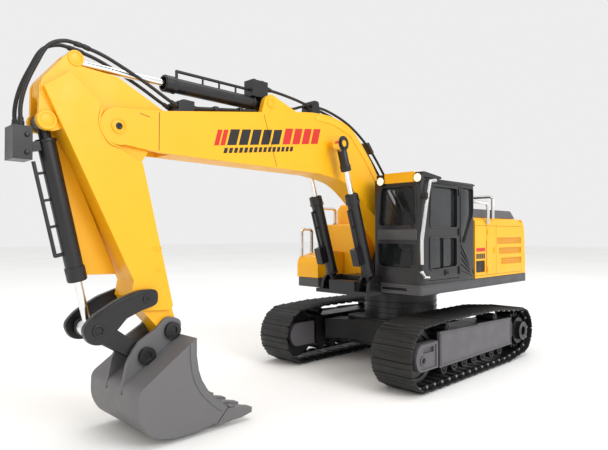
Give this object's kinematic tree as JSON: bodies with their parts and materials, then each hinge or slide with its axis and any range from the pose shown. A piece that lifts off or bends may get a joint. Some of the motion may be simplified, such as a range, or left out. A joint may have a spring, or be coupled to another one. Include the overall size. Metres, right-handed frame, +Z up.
{
  "type": "toy excavator",
  "caption": "Toy crawler excavator with a turning upper house, three-part digging arm with cylinders and linkage, tracks with wheels, cab with opening door, handrails and hoses.",
  "frame": {"origin": "middle of the whole machine's footprint, on the floor under the tracks", "axes": "+Z up, the digging arm reaches towards -Y, the cab is on the +X side"},
  "size_m": [0.2, 0.5834, 0.2773],
  "materials": {
    "black_plastic": "satin moulded plastic",
    "plate_grey": "satin moulded plastic",
    "track_rubber": "matte soft plastic belt",
    "deck_grey": "satin moulded plastic",
    "yellow_paint": "semi-gloss moulded plastic",
    "cab_charcoal": "satin moulded plastic",
    "clear_plastic": "clear moulded plastic",
    "bright_rod": "bright plated rod",
    "bucket_metal": "satin grey plastic",
    "hose_rubber": "flexible matte hose"
  },
  "bodies": {
    "chassis": {"chassis_frame": "black_plastic", "track_frame_left": "black_plastic", "idler_yoke_left": "plate_grey", "side_cover_left": "plate_grey", "track_left": "track_rubber", "track_frame_right": "black_plastic", "idler_yoke_right": "plate_grey", "side_cover_right": "plate_grey", "track_right": "track_rubber"},
    "idler_body_left": {"idler_left": "black_plastic"},
    "idler_body_right": {"idler_right": "black_plastic"},
    "sprocket_body_left": {"sprocket_left": "black_plastic"},
    "sprocket_body_right": {"sprocket_right": "black_plastic"},
    "house": {"slew_ring": "black_plastic", "deck": "deck_grey", "boom_bracket": "black_plastic", "engine_housing": "yellow_paint", "counterweight": "yellow_paint", "hood_top": "plate_grey", "tank_body": "yellow_paint", "tool_box": "yellow_paint", "rear_rail": "bright_rod", "hood_rail": "bright_rod", "tool_box_rail": "bright_rod", "tank_rail": "bright_rod", "cab_shell": "cab_charcoal", "cab_seat": "black_plastic", "windshield": "clear_plastic", "right_pane": "clear_plastic", "roof_cap": "black_plastic", "visor_panel": "yellow_paint", "cab_lamp_left": "clear_plastic", "cab_lamp_right": "clear_plastic", "grab_rail": "bright_rod"},
    "door": {"cab_door": "cab_charcoal", "door_glass": "clear_plastic"},
    "boom_body": {"boom": "yellow_paint", "boom_pipes": "black_plastic", "hose_clamp": "black_plastic", "boom_hose_left": "hose_rubber", "boom_hose_right": "hose_rubber", "arm_hose_left": "hose_rubber", "arm_hose_right": "hose_rubber"},
    "arm_body": {"arm": "yellow_paint", "bucket_hose_left": "hose_rubber", "bucket_hose_right": "hose_rubber"},
    "bucket_body": {"bucket": "bucket_metal", "cutting_edge": "bucket_metal", "bucket_pin": "black_plastic", "link_pin": "black_plastic"},
    "side_links_body": {"side_links": "black_plastic"},
    "bucket_link_body": {"bucket_link": "black_plastic"},
    "boom_barrel_body_left": {"boom_barrel_left": "black_plastic"},
    "boom_barrel_body_right": {"boom_barrel_right": "black_plastic"},
    "boom_rod_body_left": {"boom_rod_left": "bright_rod"},
    "boom_rod_body_right": {"boom_rod_right": "bright_rod"},
    "arm_barrel_body": {"arm_barrel": "black_plastic"},
    "arm_rod_body": {"arm_rod": "bright_rod"},
    "bucket_barrel_body": {"bucket_barrel": "black_plastic"},
    "bucket_rod_body": {"bucket_rod": "bright_rod"}
  },
  "joints": [
    {"name": "slew", "type": "hinge", "parent": "chassis", "child": "house", "pos_m": [0, 0.1227, 0.076], "axis": [0, 0, 1], "continuous": true},
    {"name": "cab_door_hinge", "type": "hinge", "parent": "house", "child": "door", "pos_m": [0.08, 0.1137, 0.146], "axis": [0, 0, 1], "range_deg": [0, 75]},
    {"name": "boom_pivot", "type": "hinge", "parent": "house", "child": "boom_body", "pos_m": [0, 0.1147, 0.122], "axis": [-1, 0, 0], "range_deg": [-15, 12], "deforming": ["boom_hose_left", "boom_hose_right"]},
    {"name": "arm_pivot", "type": "hinge", "parent": "boom_body", "child": "arm_body", "pos_m": [0, -0.2269, 0.2176], "axis": [-1, 0, 0], "range_deg": [-12, 30], "deforming": ["arm_hose_left", "arm_hose_right", "bucket_hose_left", "bucket_hose_right"]},
    {"name": "bucket_pivot", "type": "hinge", "parent": "arm_body", "child": "bucket_body", "pos_m": [0, -0.1856, 0.0731], "axis": [-1, 0, 0], "range_deg": [0, 42]},
    {"name": "side_links_pivot", "type": "hinge", "parent": "arm_body", "child": "side_links_body", "pos_m": [0, -0.2075, 0.098], "axis": [-1, 0, 0], "range_deg": [-5, 35]},
    {"name": "bucket_link_pivot", "type": "hinge", "parent": "side_links_body", "child": "bucket_link_body", "pos_m": [0, -0.2418, 0.08], "axis": [-1, 0, 0], "range_deg": [-35, 5]},
    {"name": "bucket_barrel_pivot", "type": "hinge", "parent": "arm_body", "child": "bucket_barrel_body", "pos_m": [0, -0.2727, 0.2154], "axis": [-1, 0, 0], "range_deg": [-8, 8]},
    {"name": "bucket_rod_pivot", "type": "hinge", "parent": "side_links_body", "child": "bucket_rod_body", "pos_m": [0, -0.2418, 0.08], "axis": [-1, 0, 0], "range_deg": [-35, 5]},
    {"name": "arm_barrel_pivot", "type": "hinge", "parent": "boom_body", "child": "arm_barrel_body", "pos_m": [0, -0.0885, 0.2576], "axis": [-1, 0, 0], "range_deg": [-4, 6]},
    {"name": "arm_rod_pivot", "type": "hinge", "parent": "arm_body", "child": "arm_rod_body", "pos_m": [0, -0.2551, 0.2584], "axis": [-1, 0, 0], "range_deg": [-30, 15]},
    {"name": "boom_barrel_pivot_left", "type": "hinge", "parent": "house", "child": "boom_barrel_body_left", "pos_m": [0.0244, 0.0352, 0.0915], "axis": [-1, 0, 0], "range_deg": [-18, 15]},
    {"name": "boom_rod_pivot_left", "type": "hinge", "parent": "boom_body", "child": "boom_rod_body_left", "pos_m": [0.0244, -0.0103, 0.23], "axis": [-1, 0, 0], "range_deg": [-3, 3]},
    {"name": "sprocket_spin_left", "type": "hinge", "parent": "chassis", "child": "sprocket_body_left", "pos_m": [0.078, 0.2257, 0.031], "axis": [-1, 0, 0], "continuous": true},
    {"name": "idler_spin_left", "type": "hinge", "parent": "chassis", "child": "idler_body_left", "pos_m": [0.078, 0.0242, 0.0315], "axis": [-1, 0, 0], "continuous": true},
    {"name": "boom_barrel_pivot_right", "type": "hinge", "parent": "house", "child": "boom_barrel_body_right", "pos_m": [-0.0244, 0.0352, 0.0915], "axis": [-1, 0, 0], "range_deg": [-18, 15]},
    {"name": "boom_rod_pivot_right", "type": "hinge", "parent": "boom_body", "child": "boom_rod_body_right", "pos_m": [-0.0244, -0.0103, 0.23], "axis": [-1, 0, 0], "range_deg": [-3, 3]},
    {"name": "sprocket_spin_right", "type": "hinge", "parent": "chassis", "child": "sprocket_body_right", "pos_m": [-0.078, 0.2257, 0.031], "axis": [-1, 0, 0], "continuous": true},
    {"name": "idler_spin_right", "type": "hinge", "parent": "chassis", "child": "idler_body_right", "pos_m": [-0.078, 0.0242, 0.0315], "axis": [-1, 0, 0], "continuous": true}
  ],
  "couplings": [
    {"joint": "side_links_pivot", "follows": "bucket_pivot", "ratio": 0.688},
    {"joint": "bucket_link_pivot", "follows": "bucket_pivot", "ratio": -0.634},
    {"joint": "bucket_barrel_pivot", "follows": "bucket_pivot", "ratio": 0.011},
    {"joint": "bucket_rod_pivot", "follows": "bucket_pivot", "ratio": -0.679},
    {"joint": "arm_barrel_pivot", "follows": "arm_pivot", "ratio": 0.14},
    {"joint": "arm_rod_pivot", "follows": "arm_pivot", "ratio": -0.86},
    {"joint": "boom_barrel_pivot_left", "follows": "boom_pivot", "ratio": 0.985},
    {"joint": "boom_rod_pivot_left", "follows": "boom_pivot", "ratio": -0.0125},
    {"joint": "idler_spin_left", "follows": "sprocket_spin_left", "ratio": 0.8431},
    {"joint": "boom_barrel_pivot_right", "follows": "boom_pivot", "ratio": 0.985},
    {"joint": "boom_rod_pivot_right", "follows": "boom_pivot", "ratio": -0.0125},
    {"joint": "idler_spin_right", "follows": "sprocket_spin_right", "ratio": 0.8431}
  ]
}
